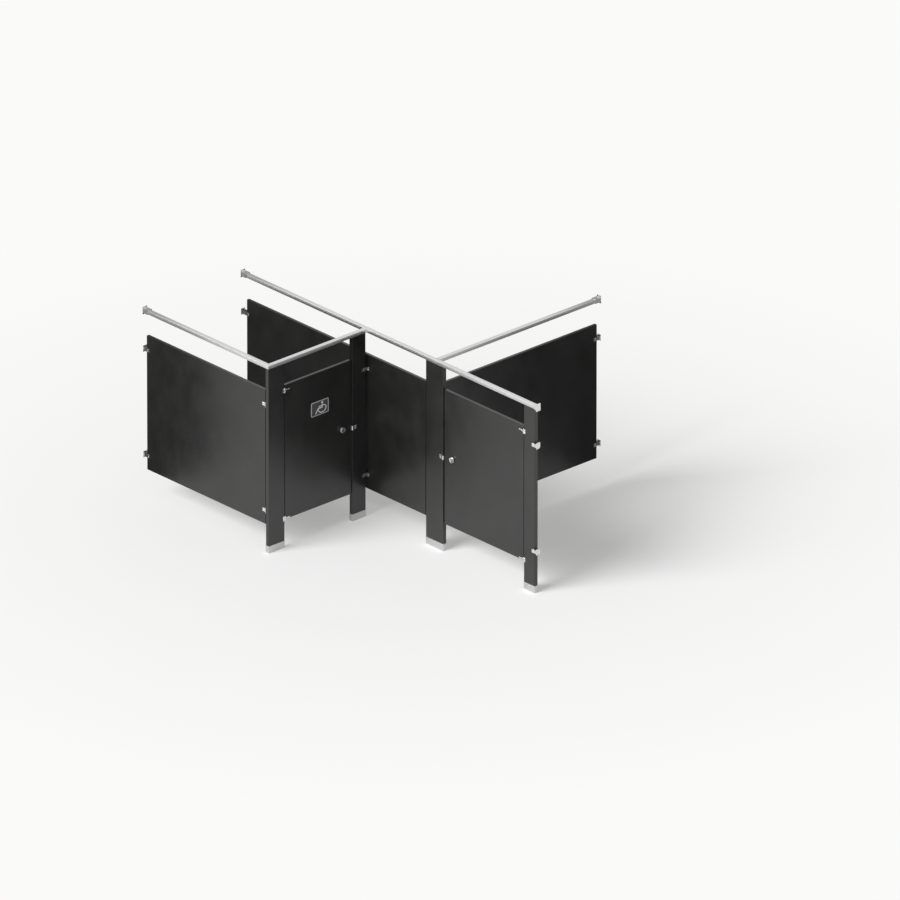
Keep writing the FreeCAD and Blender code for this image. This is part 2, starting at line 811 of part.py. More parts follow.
def head_rails(pilaster_holes):
    """The four rails with their sockets, clips and screws. Adds the pilasters' holes to theirs."""
    half = RAIL_WIDTH / 2
    holes = {"left": [], "front": [], "main": [], "divider": []}
    for key, (line, ends) in PILASTERS.items():
        drills = pilaster_rail_screws(line, ends)
        pilaster_holes[key] += drills
        holes["front" if line is FRONT else "main"] += drills
    corner = Station(FRONT, -S.stall_width - half, 1)
    corner_spot = (0, 0, RAIL_MIDDLE)
    end_drill = screw_in(RAIL_SCREWS, corner, corner_spot, "d", -1, S.rail_wall + S.rail_fit)
    holes["left"].append(end_drill)
    pilaster_holes["corner"].append(end_drill)

    long = S.socket_length
    short = S.end_gap - S.end_socket_gap
    holes["left"].append(rail_socket("rail_socket_left", Station(LEFT, 0, 1), long))
    holes["main"].append(rail_socket("rail_socket_main_near", Station(MAIN, 0, 1), long))
    holes["main"].append(rail_socket("rail_socket_main_far", Station(MAIN, S.line_length, -1), short))
    holes["divider"].append(rail_socket("rail_socket_divider", Station(DIVIDER, S.corner_depth, -1), long))

    front_clip, own, other = tee_clip(Station(FRONT, -half, -1), -1)
    holes["front"].append(own)
    holes["main"].append(other)
    pilaster_holes["latch"].append(own)
    divider_clip, own, other = tee_clip(Station(DIVIDER, half, 1), -1)
    holes["divider"].append(own)
    holes["main"].append(other)
    pilaster_holes["divider"].append(other)
    finish("rail_tee_clips", bundle([front_clip, divider_clip]))

    left, front = mitred_channels()
    main_end = S.line_length - S.socket_flange
    main = straight_channel("headrail_main_blank", MAIN, as_size(S.socket_flange), main_end)
    divider_end = S.corner_depth - S.socket_flange
    divider = straight_channel("headrail_divider_blank", DIVIDER, half, divider_end)
    for key, blank in (("left", left), ("front", front), ("main", main), ("divider", divider)):
        finish("headrail_" + key, drilled(blank, holes[key]))


# Feet

def shoe(label, line, ends):
    """A sleeve round a pilaster's foot, screwed to it front and back. Gives back the screw holes."""
    station = Station(line, ends[0], 1)
    width = ends[1] - ends[0]
    fit = S.shoe_fit
    skin = fit + S.shoe_wall
    outside = station.box(
        (-skin, width + skin), (-PILASTER_HALF - skin, PILASTER_HALF + skin), (as_size(0), S.shoe_height)
    )
    inside = station.box(
        (-fit, width + fit),
        (-PILASTER_HALF - fit, PILASTER_HALF + fit),
        (as_size(-OVERCUT), S.shoe_height + OVERCUT),
    )
    drills = []
    for side in (-1, 1):
        spot = (width / 2, side * (PILASTER_HALF + skin), S.shoe_screw_height)
        drills.append(screw_in(SHOE_SCREWS, station, spot, "out", side, skin))
    finish(label, drilled(outside, [inside] + drills))
    return drills


def hex_nut(station, d):
    """A nut round a stud, right under the pilaster."""
    nut = DOC.addObject("Part::Prism", "nut")
    nut.Polygon = 6
    bind(nut, "Circumradius", S.nut_radius)
    bind(nut, "Height", S.nut_height)
    bottom = S.pilaster_foot - S.nut_height
    place(nut, *station.spot(d, 0, bottom))
    reach = (bottom - OVERCUT, S.pilaster_foot + OVERCUT)
    return drilled(nut, [station.rod(d, 0, reach, S.stud_radius + S.nut_fit)])


def leveller(line, ends):
    """A floor plate with two welded studs, and the nuts on them that carry the pilaster.

    Gives back the base, the nuts and the studs' holes for the pilaster.
    """
    station = Station(line, ends[0], 1)
    width = ends[1] - ends[0]
    half = PILASTER_HALF - S.level_side
    top = S.pilaster_foot + S.stud_reach
    floor = as_size(0)
    plate = station.box((S.level_inset, width - S.level_inset), (-half, half), (floor, S.level_plate))
    spots = (S.stud_inset, width - S.stud_inset)
    studs = [station.rod(d, 0, (floor, top), S.stud_radius) for d in spots]
    anchors = []
    for d in (S.anchor_inset, width - S.anchor_inset):
        anchors.append(station.rod(d, 0, (floor - OVERCUT, S.level_plate + OVERCUT), S.anchor_hole))
    sockets = []
    for d in spots:
        reach = (S.pilaster_foot - OVERCUT, top + S.stud_fit)
        sockets.append(station.rod(d, 0, reach, S.stud_radius + S.stud_fit))
    base = drilled(joined([plate] + studs), anchors)
    return base, [hex_nut(station, d) for d in spots], sockets


def feet(pilaster_holes):
    """Shoes and levelling gear of all pilasters. Adds the pilasters' holes to theirs."""
    bases = []
    nuts = []
    for key, (line, ends) in PILASTERS.items():
        base, pair, sockets = leveller(line, ends)
        bases.append(base)
        nuts += pair
        pilaster_holes[key] += sockets + shoe("shoe_" + key, line, ends)
    finish("leveling_bases", bundle(bases))
    finish("leveling_nuts", bundle(nuts))


# Hinges, with the station at the hinge's axis and d running towards the latch

def hinge_leaf(station, level):
    """The leaf on the pilaster with its upper and lower knuckle. Gives back its screw holes too."""
    near = -S.barrel_radius - S.leaf_clearance
    far = -S.hinge_gap / 2 - S.leaf_width
    out = (PILASTER_HALF, PILASTER_HALF + S.leaf_plate)
    half = S.leaf_height / 2
    inner = S.knuckle_height / 2 + S.knuckle_gap
    shapes = [station.box((far, near), out, (level - half, level + half))]
    for rise in ((level + inner, level + half), (level - half, level - inner)):
        shapes.append(station.box((near - OVERCUT, -S.barrel_radius / 2), out, rise))
        shapes.append(station.rod(0, HINGE_OUT, rise, S.barrel_radius))
    bore = station.rod(
        0, HINGE_OUT, (level - half - OVERCUT, level + half + OVERCUT), S.pin_radius + S.pin_fit
    )
    drills = []
    for side in (-1, 1):
        spot = ((near + far) / 2, out[1], level + side * S.leaf_screw_spacing / 2)
        drills.append(screw_in(LEAF_SCREWS, station, spot, "out", 1, S.leaf_plate))
    return drilled(joined(shapes), [bore] + drills), drills


def hinge_strap(station, level, screws):
    """The strap on the door with the middle knuckle. Gives back its screw holes too."""
    half = S.strap_height / 2
    out = (PANEL_HALF, PANEL_HALF + S.strap_plate)
    rise = (level - S.knuckle_height / 2, level + S.knuckle_height / 2)
    shapes = [
        station.box((S.barrel_radius / 2, S.strap_length), out, (level - half, level + half)),
        station.rod(0, HINGE_OUT, rise, S.barrel_radius),
    ]
    bore = station.rod(0, HINGE_OUT, (rise[0] - OVERCUT, rise[1] + OVERCUT), S.pin_radius + S.pin_fit)
    end = S.strap_length - S.strap_screw_inset
    drills = []
    for d in (end - S.strap_screw_spacing, end):
        drills.append(screw_in(screws, station, (d, out[1], level), "out", 1, S.strap_plate))
    return drilled(joined(shapes), [bore] + drills), drills


def hinge_pin(station, level):
    """A headed pin through the knuckles."""
    half = S.leaf_height / 2
    shapes = [station.rod(0, HINGE_OUT, (level - half, level + half), S.pin_radius)]
    head = S.pin_head_height
    for rise in ((level + half, level + half + head), (level - half - head, level - half)):
        shapes.append(station.rod(0, HINGE_OUT, rise, S.pin_head_radius))
    return joined(shapes)


# Keepers and latches, with the station at the pilaster's latch edge and d running into the pilaster

def keeper(label, station):
    """A keeper that wraps the pilaster's edge: a rounded nose before the door's gap, and behind it a strike
    loop and a stop tab.

    Gives back the bolt holes for the pilaster.
    """
    plate = S.keeper_plate
    rise = (S.latch_height - S.keeper_height / 2, S.latch_height + S.keeper_height / 2)
    back = (KEEPER_BACK, -PILASTER_HALF)
    loop = (S.loop_start, S.loop_start + S.loop_width)
    loop_half = S.bolt_bar_height / 2 + S.bolt_bar_fit
    loop_back = BAR_BACK - S.bolt_bar_stand
    edge_gap = S.latch_gap + S.tab_reach
    nose = S.nose_radius + S.nose_gap - S.latch_gap
    shapes = [
        station.box((-plate, S.keeper_grip), (PILASTER_HALF, PILASTER_HALF + S.keeper_face), rise),
        station.rod(nose, PILASTER_HALF + S.nose_stand, rise, S.nose_radius),
        station.box((-edge_gap, S.keeper_grip), back, rise),
        station.box((-plate, as_size(0)), (-PILASTER_HALF, PILASTER_HALF), rise),
    ]
    for side in (-1, 1):
        near = S.latch_height + side * loop_half
        far = near + side * S.loop_plate
        shapes.append(station.box(loop, (loop_back - S.loop_plate, KEEPER_BACK), (near, far)))
    low = S.latch_height - loop_half - S.loop_plate
    high = S.latch_height + loop_half + S.loop_plate
    shapes.append(station.box(loop, (loop_back - S.loop_plate, loop_back), (low, high)))
    room = station.box((as_size(0), S.keeper_grip + OVERCUT), (-PILASTER_HALF, PILASTER_HALF), rise)
    middle = (S.keeper_face - plate) / 2
    grip = S.pilaster_thickness + plate + S.keeper_face
    holes = []
    for side in (-1, 1):
        spot = (S.keeper_grip - S.keeper_bolt_inset, middle, S.latch_height + side * S.bolt_spacing / 2)
        holes.append(bolt_through(KEEPER_BOLTS, station, spot, "out", grip))
    finish(label, drilled(joined(shapes), [room] + holes))
    return holes


def stop_bumper(station):
    """A rubber pad on the stop tab, just behind the closed door."""
    half = S.bumper_height / 2
    return station.box(
        (-S.latch_gap - S.tab_reach, -S.latch_gap),
        (-PILASTER_HALF, -PANEL_HALF - S.bumper_gap),
        (S.latch_height - half, S.latch_height + half),
    )


def latch_case(label, station, screws):
    """The case on the door's inside that guides the slide bolt. Gives back its screw holes."""
    level = S.latch_height
    fit = S.bolt_bar_fit
    half = S.case_height / 2
    rear = CASE_FRONT - S.case_length
    case = station.box((rear, CASE_FRONT), (CASE_BACK, -PANEL_HALF), (level - half, level + half))
    bar_half = S.bolt_bar_height / 2 + fit
    guide = station.box(
        (rear + S.case_wall, CASE_FRONT + OVERCUT),
        (BAR_BACK - fit, BAR_OUT + S.bolt_bar_depth / 2 + fit),
        (level - bar_half, level + bar_half),
    )
    gap = S.thumb_radius + fit
    slot = station.box(
        (THUMB_SPOT - gap, THUMB_SPOT + S.bolt_travel + gap),
        (CASE_BACK - OVERCUT, BAR_BACK),
        (level - gap, level + gap),
    )
    drills = []
    inset = S.case_screw_inset
    for d, side in ((rear + inset, 1), (CASE_FRONT - inset, -1)):
        spot = (d, CASE_BACK, level + side * (half - inset))
        drills.append(screw_in(screws, station, spot, "out", -1, -PANEL_HALF - CASE_BACK))
    finish(label, drilled(case, [guide, slot] + drills))
    return drills


def latch_bolt(label, station):
    """The slide bolt, drawn back, with its thumb knob."""
    level = S.latch_height
    nose = CASE_FRONT - S.nose_inset
    half = S.bolt_bar_height / 2
    thumb_back = CASE_BACK - S.thumb_stand
    shapes = [
        station.box(
            (nose - S.bolt_bar_length, nose),
            (BAR_BACK, BAR_OUT + S.bolt_bar_depth / 2),
            (level - half, level + half),
        ),
        station.rod(THUMB_SPOT, (thumb_back - OVERCUT, BAR_OUT), level, S.thumb_radius),
        station.rod(THUMB_SPOT, (thumb_back - S.thumb_head_height, thumb_back), level, S.thumb_head_radius),
    ]
    finish(label, joined(shapes))


# Doors and what is on them

def door_knob(label, station):
    """A round pull knob on the door's outside, turned in one piece."""
    body = DOC.addObject("PartDesign::Body", label)
    profile = [
        (0, 0),
        (S.knob_neck_radius, 0),
        (S.knob_neck_radius, S.knob_neck_height),
        (S.knob_radius, S.knob_neck_height),
        (S.knob_radius, S.knob_height),
        (0, S.knob_height),
    ]
    sketch = outline(body, "XZ_Plane", profile)
    turning = body.newObject("PartDesign::Revolution", "turning")
    turning.Profile = sketch
    turning.ReferenceAxis = (sketch, ["V_Axis"])
    turning.Angle = 360
    DOC.recompute([sketch, turning])
    rim = S.knob_radius.value

    def is_rim(edge):
        return isinstance(edge.Curve, Part.Circle) and abs(edge.Curve.Radius - rim) < OVERCUT / 100

    softened(body, turning, S.knob_round, is_rim)
    body.Placement.Rotation = turned(station.line.outward)
    place(body, *station.spot(-S.latch_gap - S.knob_inset, PANEL_HALF, S.latch_height + S.knob_rise))
    finish(label, body)


def coat_hook(label, station, level, screws):
    """A coat hook with a bumper arm on the door's inside. Gives back its screw holes."""
    face = -PANEL_HALF
    front = face - S.hook_base_plate
    half = S.hook_base_height / 2
    arm = level + half / 2
    prong = level - half / 2
    reach = front - S.hook_arm_reach
    tip = front - S.hook_prong_reach
    shapes = [
        station.box(
            (-S.hook_base_width / 2, S.hook_base_width / 2), (front, face), (level - half, level + half)
        ),
        station.rod(0, (reach, front), arm, S.hook_arm_radius),
        station.rod(0, (reach - S.hook_cap_height, reach), arm, S.hook_cap_radius),
        station.rod(0, (tip, front), prong, S.hook_arm_radius),
        station.rod(0, tip, (prong - S.hook_tip_radius, prong + S.hook_prong_rise), S.hook_tip_radius),
    ]
    drills = []
    for side in (-1, 1):
        spot = (side * (S.hook_base_width / 2 - S.hook_screw_inset), front, level)
        drills.append(screw_in(screws, station, spot, "out", -1, S.hook_base_plate))
    finish(label, drilled(joined(shapes), drills))
    return drills


def along_x(edge):
    """Pick the edges that run along X."""
    start, end = (vertex.Point for vertex in edge.Vertexes)
    return abs(end.x - start.x) > edge.Length / 2


def sign_plate(station):
    """A plate with round corners and a raised border round a sunk field."""
    body = DOC.addObject("PartDesign::Body", "sign_plate_blank")
    pad = padded(body, outline(body, "YZ_Plane", rectangle(S.sign_width, S.sign_height)), S.sign_thickness)
    softened(body, pad, S.sign_corner, along_x)
    place(body, *station.spot(-S.sign_width / 2, PANEL_HALF, S.sign_level - S.sign_height / 2))
    field = DOC.addObject("PartDesign::Body", "sign_field")
    inner = rectangle(S.sign_width - 2 * S.sign_border, S.sign_height - 2 * S.sign_border)
    field_pad = padded(field, outline(field, "YZ_Plane", inner), S.sign_rim + OVERCUT)
    softened(field, field_pad, S.sign_corner - S.sign_border, along_x)
    corner = S.sign_border - S.sign_width / 2
    bottom = S.sign_level - S.sign_height / 2 + S.sign_border
    place(field, *station.spot(corner, PANEL_HALF + S.sign_thickness - S.sign_rim, bottom))
    finish("sign_plate", drilled(body, [field]))


def oval_ring(station, spot, width, height, stroke, depth):
    """A flat oval ring that faces out from the front line."""
    oval = Part.Ellipse(FreeCAD.Vector(), width.value / 2, height.value / 2)
    hole = Part.Ellipse(FreeCAD.Vector(), width.value / 2 - stroke.value, height.value / 2 - stroke.value)
    discs = [Part.Face(Part.Wire(edge.toShape())) for edge in (oval, hole)]
    ring = DOC.addObject("Part::Feature", "ring")
    ring.Shape = discs[0].cut(discs[1]).extrude(FreeCAD.Vector(0, 0, depth.value))
    axes = (FreeCAD.Vector(0, 1, 0), FreeCAD.Vector(0, 0, 1), FreeCAD.Vector(1, 0, 0))
    ring.Placement = FreeCAD.Placement(station.point(*spot), FreeCAD.Rotation(*axes, "ZXY"))
    return ring


def sign_symbol(station):
    """A seated figure with a wheel, facing away from the latch, raised on the sign's field."""
    face = PANEL_HALF + S.sign_thickness - S.sign_rim
    out = (face, face + S.symbol_relief)
    past = (face - OVERCUT, face + S.symbol_relief + OVERCUT)
    stroke = S.symbol_stroke
    back = S.symbol_back
    spine = (back - stroke / 2, back + stroke / 2)
    foot = S.sign_level - S.symbol_height / 2
    top = S.sign_level + S.symbol_height / 2
    head = station.rod(back, out, top - S.symbol_head, S.symbol_head)

    sole = foot + S.symbol_sole
    seat = foot + S.symbol_seat
    neck = top - 2 * S.symbol_head - S.symbol_neck
    corners = [
        (spine[0], neck),
        (spine[1], neck),
        (spine[1], seat),
        (S.symbol_shin / 2 - S.symbol_knee, seat),
        (S.symbol_shin - S.symbol_toe, sole),
        (-S.symbol_toe, sole),
        (-S.symbol_knee, seat + stroke),
        (spine[0], seat + stroke),
    ]
    body = DOC.addObject("PartDesign::Body", "sign_figure")
    points = [(d + S.symbol_toe, z - sole) for d, z in corners]
    padded(body, outline(body, "YZ_Plane", points), S.symbol_relief)
    place(body, *station.spot(-S.symbol_toe, face, sole))
    arm = seat + S.symbol_arm
    figure = joined([body, station.box((-S.symbol_hand, back), out, (arm, arm + S.symbol_limb))])

    hub = (back, face, foot + S.symbol_wheel_height / 2)
    wheel = oval_ring(
        station, hub, S.symbol_wheel_width, S.symbol_wheel_height, S.symbol_limb, S.symbol_relief
    )
    left = back - S.symbol_wheel_width / 2 - OVERCUT
    notches = joined([
        station.box((left, spine[1] + 2 * S.symbol_gap), past, (seat - S.symbol_gap, top)),
        station.box((left, S.symbol_gap - S.symbol_knee), past, (foot - OVERCUT, top)),
    ])
    finish("sign_symbol", bundle([head, figure, drilled(wheel, [notches])]))


def door(key, line, ends, latch_sign, hook_level):
    """One door with its hinges, latch, knob and hook. Gives back the holes for its two pilasters."""
    hinge_edge = ends[0] if latch_sign > 0 else ends[1]
    latch_edge = ends[1] if latch_sign > 0 else ends[0]
    half_gap = latch_sign * S.hinge_gap / 2
    hinge = Station(line, hinge_edge - half_gap, latch_sign)
    latch = Station(line, latch_edge + latch_sign * S.latch_gap, latch_sign)
    middle = Station(line, (ends[0] + ends[1]) / 2, 1)
    screws = Fasteners()
    leaves = []
    straps = []
    hinge_holes = []
    door_holes = []
    pins = []
    for level in HINGE_LEVELS:
        leaf, drills = hinge_leaf(hinge, level)
        leaves.append(leaf)
        hinge_holes += drills
        strap, drills = hinge_strap(hinge, level, screws)
        straps.append(strap)
        door_holes += drills
        pins.append(hinge_pin(hinge, level))
    finish("hinge_leaves_" + key, bundle(leaves))
    finish("hinge_straps_" + key, bundle(straps))
    latch_holes = keeper("keeper_" + key, latch)
    door_holes += latch_case("latch_case_" + key, latch, screws)
    latch_bolt("latch_bolt_" + key, latch)
    door_knob("door_knob_" + key, latch)
    door_holes += coat_hook("coat_hook_" + key, middle, hook_level, screws)
    leaf_slab = slab("door_{}_blank".format(key), Station(line, ends[0], 1),
                     (as_size(0), ends[1] - ends[0]), PANEL_HALF, PANEL_SPAN)
    finish("door_" + key, drilled(leaf_slab, door_holes))
    screws.finish("door_screws_" + key)
    return hinge_holes, latch_holes, pins, stop_bumper(latch)


def doors(pilaster_holes):
    """Both doors. Adds the pilasters' holes to theirs."""
    hinge_holes, latch_holes, pins, bumper = door(
        "accessible", FRONT, ACCESSIBLE_DOOR, 1, S.low_hook_level
    )
    pilaster_holes["corner"] += hinge_holes
    pilaster_holes["latch"] += latch_holes
    hinge_holes, latch_holes, more_pins, other_bumper = door(
        "standard", MAIN, STANDARD_DOOR, -1, S.high_hook_level
    )
    pilaster_holes["end"] += hinge_holes
    pilaster_holes["divider"] += latch_holes
    finish("hinge_pins", bundle(pins + more_pins))
    finish("door_bumpers", bundle([bumper, other_bumper]))
    sign_middle = Station(FRONT, (ACCESSIBLE_DOOR[0] + ACCESSIBLE_DOOR[1]) / 2 + S.sign_shift, 1)
    sign_plate(sign_middle)
    sign_symbol(sign_middle)


# Panels and pilasters, last because the others say where their holes are

def panels(pilaster_holes):
    """The four fixed panels and all brackets. Adds the pilasters' holes to theirs."""
    wide = S.pilaster_thickness + 2 * S.bracket_plate
    holes = {"left": [], "inner": [], "front": [], "divider": []}

    def joint(label, key, station, gap, base_width, pilaster=None):
        """Bracket one end of a panel to a wall or a pilaster."""
        bolts, bases = u_brackets(label, station, gap, PANEL_HALF, base_width, pilaster is not None)
        holes[key] += bolts
        if pilaster:
            pilaster_holes[pilaster] += bases

    joint("wall_brackets_left", "left", Station(LEFT, 0, 1), S.wall_gap, wide)
    joint("wall_brackets_inner", "inner", Station(MAIN, 0, 1), S.inner_gap, wide)
    joint("wall_brackets_divider", "divider", Station(DIVIDER, S.corner_depth, -1), S.wall_gap, wide)
    left_end = Station(LEFT, S.front_x - PILASTER_HALF, -1)
    joint("panel_brackets_corner", "left", left_end, S.joint_gap, wide, "corner")
    front_end = Station(MAIN, DIVIDER_PILASTER[0], -1)
    drills, bases = rear_angles("panel_brackets_front", front_end, S.inline_gap)
    holes["front"] += drills
    pilaster_holes["divider"] += bases
    divider_end = Station(DIVIDER, PILASTER_HALF, 1)
    joint("panel_brackets_divider", "divider", divider_end, S.joint_gap, wide, "divider")
    end_wall = Station(MAIN, S.line_length, -1)
    bolts, _ = u_brackets("wall_brackets_end", end_wall, S.end_gap, PILASTER_HALF, wide, False)
    pilaster_holes["end"] += bolts
    pilaster_drills, front_drills, inner_drills = corner_angles()
    pilaster_holes["latch"] += pilaster_drills
    holes["front"] += front_drills
    holes["inner"] += inner_drills

    runs = {
        "left": (LEFT, LEFT_PANEL),
        "inner": (MAIN, INNER_PANEL),
        "front": (MAIN, FRONT_PANEL),
        "divider": (DIVIDER, DIVIDER_PANEL),
    }
    for key, (line, ends) in runs.items():
        long = (as_size(0), ends[1] - ends[0])
        blank = slab("panel_{}_blank".format(key), Station(line, ends[0], 1), long, PANEL_HALF, PANEL_SPAN)
        finish("panel_" + key, drilled(blank, holes[key]))


def pilasters(holes):
    """The four pilasters with every hole that the other pieces need."""
    for key, (line, ends) in PILASTERS.items():
        long = (as_size(0), ends[1] - ends[0])
        station = Station(line, ends[0], 1)
        blank = slab("pilaster_{}_blank".format(key), station, long, PILASTER_HALF, PILASTER_SPAN)
        finish("pilaster_" + key, drilled(blank, holes[key]))


def check_all():
    """Stop if any object failed or any piece is not a sound shape."""
    for thing in DOC.Objects:
        if {"Invalid", "Error"} & set(thing.State):
            raise RuntimeError("{} failed: {}".format(thing.Label, thing.State))
    for piece in PARTS:
        if piece.Shape.isNull() or not piece.Shape.isValid():
            raise RuntimeError("{} is not a sound shape".format(piece.Label))


def write_parts():
    """Write each piece to a file of its own name."""
    os.makedirs("parts", exist_ok=True)
    for piece in PARTS:
        piece.Shape.exportStep("parts/{}.step".format(piece.Label))


def main():
    make_sheet()
    pilaster_holes = {key: [] for key in PILASTERS}
    panels(pilaster_holes)
    head_rails(pilaster_holes)
    feet(pilaster_holes)
    doors(pilaster_holes)
    pilasters(pilaster_holes)
    BRACKET_BOLTS.finish("bracket_bolts")
    BRACKET_SCREWS.finish("bracket_screws")
    RAIL_SCREWS.finish("rail_screws")
    SHOE_SCREWS.finish("shoe_screws")
    LEAF_SCREWS.finish("hinge_leaf_screws")
    KEEPER_BOLTS.finish("keeper_bolts")
    DOC.recompute()
    check_all()
    write_parts()


main()
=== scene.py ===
import json
import math

import bmesh
import bpy
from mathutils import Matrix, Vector


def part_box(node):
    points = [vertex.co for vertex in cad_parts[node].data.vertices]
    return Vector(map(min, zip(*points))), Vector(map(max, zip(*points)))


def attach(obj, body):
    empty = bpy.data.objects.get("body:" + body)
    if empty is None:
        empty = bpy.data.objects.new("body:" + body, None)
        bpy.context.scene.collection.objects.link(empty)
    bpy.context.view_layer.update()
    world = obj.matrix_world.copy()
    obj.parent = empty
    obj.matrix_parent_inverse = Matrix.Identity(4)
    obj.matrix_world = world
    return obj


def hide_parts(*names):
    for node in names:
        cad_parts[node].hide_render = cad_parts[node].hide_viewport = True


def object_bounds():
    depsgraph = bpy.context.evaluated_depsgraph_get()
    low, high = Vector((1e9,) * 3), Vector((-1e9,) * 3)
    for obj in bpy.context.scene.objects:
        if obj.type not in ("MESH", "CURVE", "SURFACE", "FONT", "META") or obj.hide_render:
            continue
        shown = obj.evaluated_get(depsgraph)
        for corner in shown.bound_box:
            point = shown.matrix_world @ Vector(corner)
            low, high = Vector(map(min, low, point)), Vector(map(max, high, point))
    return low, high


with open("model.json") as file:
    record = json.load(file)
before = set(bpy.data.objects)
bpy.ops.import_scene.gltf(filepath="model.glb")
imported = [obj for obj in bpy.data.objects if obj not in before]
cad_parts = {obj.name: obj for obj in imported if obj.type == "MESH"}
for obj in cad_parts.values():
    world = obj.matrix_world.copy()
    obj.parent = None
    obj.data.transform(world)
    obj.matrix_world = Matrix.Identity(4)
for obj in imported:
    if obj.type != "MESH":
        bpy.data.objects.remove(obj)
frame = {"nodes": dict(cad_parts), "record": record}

# A toilet partition in satin black slabs with bright rails, shoes and fittings, on a plain pale floor.
# Metres, +Z up, in the part's own frame. Pieces made here take their place and their outer size from
# the solids that they stand for.

CAD_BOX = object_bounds()
MM = 0.001
UP = Vector((0, 0, 1))

scene = bpy.context.scene
scene.view_settings.view_transform = "Standard"


# Node trees

NOISE_SPAN = (0.3, 0.7)


class Shader:
    """A material with short ways to add nodes and wire them."""

    def __init__(self, name):
        self.material = bpy.data.materials.new(name)
        self.material.use_nodes = True
        self.tree = self.material.node_tree
        self.surface = self.tree.nodes["Principled BSDF"]

    def add(self, kind, **inputs):
        """A node whose inputs are numbers, colours or other nodes' outputs."""
        node = self.tree.nodes.new(kind)
        self.feed(node, **inputs)
        return node

    def feed(self, node, **inputs):
        """Set or wire inputs by their names, written with underscores for spaces."""
        for word, value in inputs.items():
            socket = node.inputs[word.replace("_", " ")]
            if isinstance(value, bpy.types.NodeSocket):
                self.tree.links.new(value, socket)
            else:
                socket.default_value = value

    def show(self, output):
        """Wire a shader to the material's surface."""
        self.tree.links.new(output, self.tree.nodes["Material Output"].inputs["Surface"])

    def noise(self, scale, detail=3.0, stretch=(1, 1, 1)):
        """Soft noise in the piece's own coordinates, with so many waves to a metre along each axis."""
        spot = self.add("ShaderNodeTexCoord")
        drawn = self.add("ShaderNodeMapping", Vector=spot.outputs["Object"], Scale=stretch)
        where = drawn.outputs["Vector"]
        node = self.add("ShaderNodeTexNoise", Vector=where, Scale=scale, Detail=detail)
        return node.outputs["Fac"]

    def spread(self, value, low, high):
        """Noise drawn out over a range of numbers."""
        node = self.add(
            "ShaderNodeMapRange",
            Value=value,
            From_Min=NOISE_SPAN[0],
            From_Max=NOISE_SPAN[1],
            To_Min=low,
            To_Max=high,
        )
        return node.outputs["Result"]

    def tint(self, value, dark, light):
        """Noise as a blend of two colours."""
        node = self.add("ShaderNodeMix")
        node.data_type = "RGBA"
        self.tree.links.new(value, node.inputs["Factor"])
        colours = [socket for socket in node.inputs if socket.type == "RGBA"]
        for socket, colour in zip(colours, (dark, light)):
            socket.default_value = (*colour, 1)
        return next(socket for socket in node.outputs if socket.type == "RGBA")

    def blend(self, first, second, share):
        """Two noises mixed, with the second by its share."""
        node = self.add("ShaderNodeMix")
        node.data_type = "FLOAT"
        node.inputs["Factor"].default_value = share
        floats = [socket for socket in node.inputs if socket.type == "VALUE"][1:]
        for socket, value in zip(floats, (first, second)):
            self.tree.links.new(value, socket)
        return next(socket for socket in node.outputs if socket.type == "VALUE")

    def bump(self, height, depth, strength, under=None):
        """A bump of a real depth, over another one if given."""
        node = self.add("ShaderNodeBump", Height=height, Distance=depth, Strength=strength)
        if under is not None:
            self.feed(node, Normal=under)
        return node.outputs["Normal"]


def grey(level):
    """A neutral colour."""
    return (level, level, level)


# Materials. Each kind of noise is given as waves to a metre, and each bump as a depth and a strength.

COAT_DARK = (0.0020, 0.0020, 0.0019)
COAT_LIGHT = (0.0150, 0.0148, 0.0141)
COAT_ROUGH = (0.285, 0.37)
COAT_SPECULAR = 0.70
COAT_PATCHES = 5.0
COAT_PATCH_STRETCH = (1, 1, 0.7)
COAT_WIPES = 11.0
COAT_WIPE_STRETCH = (1, 1, 0.25)
COAT_WIPE_SHARE = 0.4
COAT_WAVES = 60.0
COAT_WAVE_BUMP = (0.25 * MM, 0.1)
COAT_PEEL = 420.0
COAT_PEEL_BUMP = (0.08 * MM, 0.2)


def powder_coat():
    """Satin black powder coat: fine orange peel, and patches wiped or touched more than others."""
    shader = Shader("black_powder_coat")
    patches = shader.noise(COAT_PATCHES, detail=3.0, stretch=COAT_PATCH_STRETCH)
    wipes = shader.noise(COAT_WIPES, detail=1.0, stretch=COAT_WIPE_STRETCH)
    waves = shader.bump(shader.noise(COAT_WAVES, detail=1.0), *COAT_WAVE_BUMP)
    wear = shader.blend(patches, wipes, COAT_WIPE_SHARE)
    shader.feed(
        shader.surface,
        Base_Color=shader.tint(patches, COAT_DARK, COAT_LIGHT),
        Roughness=shader.spread(wear, *COAT_ROUGH),
        Specular_IOR_Level=COAT_SPECULAR,
        Normal=shader.bump(shader.noise(COAT_PEEL, detail=2.0), *COAT_PEEL_BUMP, under=waves),
    )
    return shader.material


BRUSH_ACROSS = 900.0
BRUSH_ALONG = 6.0
BRUSH_BROAD = 3.0
BRUSH_VARIES = 0.05
BRUSH_BUMP = (0.01 * MM, 0.12)


def brushed(name, dark, light, rough, axis):
    """Metal brushed along one axis: long fine lines in its gloss, and broad clouds in its tone."""
    shader = Shader(name)
    lines = [BRUSH_ACROSS, BRUSH_ACROSS, BRUSH_ACROSS]
    lines["xyz".index(axis)] = BRUSH_ALONG
    fine = shader.noise(1.0, detail=4.0, stretch=lines)
    broad = shader.noise(BRUSH_BROAD)
    shader.feed(
        shader.surface,
        Base_Color=shader.tint(broad, dark, light),
        Metallic=1.0,
        Roughness=shader.spread(fine, rough - BRUSH_VARIES, rough + BRUSH_VARIES),
        Normal=shader.bump(fine, *BRUSH_BUMP),
    )
    return shader.material


